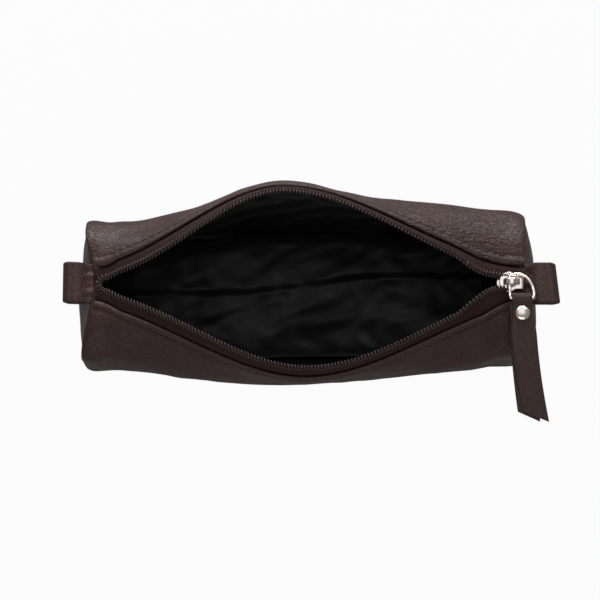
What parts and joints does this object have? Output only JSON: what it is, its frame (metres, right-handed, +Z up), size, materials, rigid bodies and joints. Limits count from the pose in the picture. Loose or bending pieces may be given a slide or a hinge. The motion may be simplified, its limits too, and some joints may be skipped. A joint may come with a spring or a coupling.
{
  "type": "toiletry pouch",
  "caption": "Barrel-shaped dark brown leather toiletry pouch with a zip mouth, a leather zip pull on a wire ring and a folded leather loop at each end",
  "frame": {"origin": "middle of the base, on the surface that the pouch stands on", "axes": "+X runs along the zip to the end where the slider waits while the pouch is open, +Y to the back wall, +Z up out of the mouth"},
  "size_m": [0.2312, 0.1137, 0.0834],
  "materials": {
    "body_leather": "dark brown full-grain leather with a fine grain and a low sheen",
    "strap_leather": "dark red-brown leather with paler cut edges",
    "lining_cloth": "black satin-like woven cloth",
    "zip_tape": "dark red-brown woven zip tape",
    "zip_coil": "grey-brown nylon coil",
    "slider_metal": "polished nickel plate",
    "rivet_metal": "polished pale nickel, domed"
  },
  "bodies": {
    "root": {"base_panel": "body_leather", "left_end_panel": "body_leather", "right_end_panel": "body_leather", "front_wall_left_end": "body_leather", "front_wall_right_end": "body_leather", "back_wall_left_end": "body_leather", "back_wall_right_end": "body_leather", "base_lining": "lining_cloth", "left_end_lining": "lining_cloth", "right_end_lining": "lining_cloth"},
    "front_mouth": {"front_wall_centre": "body_leather", "front_hem": "body_leather", "front_lining": "lining_cloth", "front_tape": "zip_tape", "front_coil": "zip_coil"},
    "front_inner": {"front_wall_left_inner": "body_leather", "front_wall_right_inner": "body_leather"},
    "front_outer": {"front_wall_left_outer": "body_leather", "front_wall_right_outer": "body_leather"},
    "back_mouth": {"back_wall_centre": "body_leather", "back_hem": "body_leather", "back_lining": "lining_cloth", "back_tape": "zip_tape", "back_coil": "zip_coil"},
    "back_inner": {"back_wall_left_inner": "body_leather", "back_wall_right_inner": "body_leather"},
    "back_outer": {"back_wall_left_outer": "body_leather", "back_wall_right_outer": "body_leather"},
    "slider": {"slider_body": "slider_metal", "slider_crown": "slider_metal"},
    "ring": {"pull_ring": "slider_metal"},
    "strap": {"pull_strap": "strap_leather", "rivet_cap": "rivet_metal", "rivet_base": "rivet_metal"},
    "left_tab": {"left_loop": "body_leather"},
    "right_tab": {"right_loop": "body_leather"}
  },
  "joints": [
    {"name": "slider_travel", "type": "slide", "parent": "root", "child": "slider", "axis": [1, 0, 0], "range_m": [-0.1825, 0]},
    {"name": "front_mouth_lean", "type": "hinge", "parent": "root", "child": "front_mouth", "pos_m": [0, -0.0332, 0.007], "axis": [-1, 0, 0], "range_deg": [0, 30], "deforming": ["front_hem", "front_lining", "front_tape", "front_coil"]},
    {"name": "front_inner_lean", "type": "hinge", "parent": "root", "child": "front_inner", "pos_m": [0, -0.0332, 0.007], "axis": [-1, 0, 0], "range_deg": [0, 23.5]},
    {"name": "front_outer_lean", "type": "hinge", "parent": "root", "child": "front_outer", "pos_m": [0, -0.0332, 0.007], "axis": [-1, 0, 0], "range_deg": [0, 12]},
    {"name": "back_mouth_lean", "type": "hinge", "parent": "root", "child": "back_mouth", "pos_m": [0, 0.0332, 0.007], "axis": [1, 0, 0], "range_deg": [0, 30], "deforming": ["back_hem", "back_lining", "back_tape", "back_coil"]},
    {"name": "back_inner_lean", "type": "hinge", "parent": "root", "child": "back_inner", "pos_m": [0, 0.0332, 0.007], "axis": [1, 0, 0], "range_deg": [0, 23.5]},
    {"name": "back_outer_lean", "type": "hinge", "parent": "root", "child": "back_outer", "pos_m": [0, 0.0332, 0.007], "axis": [1, 0, 0], "range_deg": [0, 12]},
    {"name": "ring_swing", "type": "hinge", "parent": "slider", "child": "ring", "pos_m": [0.0924, 0, 0.0717], "axis": [0, -1, 0], "range_deg": [0, 80]},
    {"name": "strap_swing", "type": "hinge", "parent": "ring", "child": "strap", "pos_m": [0.0924, -0.0078, 0.0733], "axis": [-1, 0, 0], "range_deg": [0, 140]},
    {"name": "left_loop_bend", "type": "hinge", "parent": "root", "child": "left_tab", "pos_m": [-0.10165, 0, 0.0642], "axis": [0, 1, 0], "range_deg": [-30, 45], "stiffness_Nm_per_rad": 0.02},
    {"name": "right_loop_bend", "type": "hinge", "parent": "root", "child": "right_tab", "pos_m": [0.10165, 0, 0.0642], "axis": [0, -1, 0], "range_deg": [-30, 12], "stiffness_Nm_per_rad": 0.02}
  ],
  "couplings": [
    {"joint": "front_mouth_lean", "follows": "slider_travel", "rad_per_m": -2.8357},
    {"joint": "front_inner_lean", "follows": "slider_travel", "rad_per_m": -2.2118},
    {"joint": "front_outer_lean", "follows": "slider_travel", "rad_per_m": -1.1059},
    {"joint": "back_mouth_lean", "follows": "slider_travel", "rad_per_m": -2.8357},
    {"joint": "back_inner_lean", "follows": "slider_travel", "rad_per_m": -2.2118},
    {"joint": "back_outer_lean", "follows": "slider_travel", "rad_per_m": -1.1059}
  ]
}
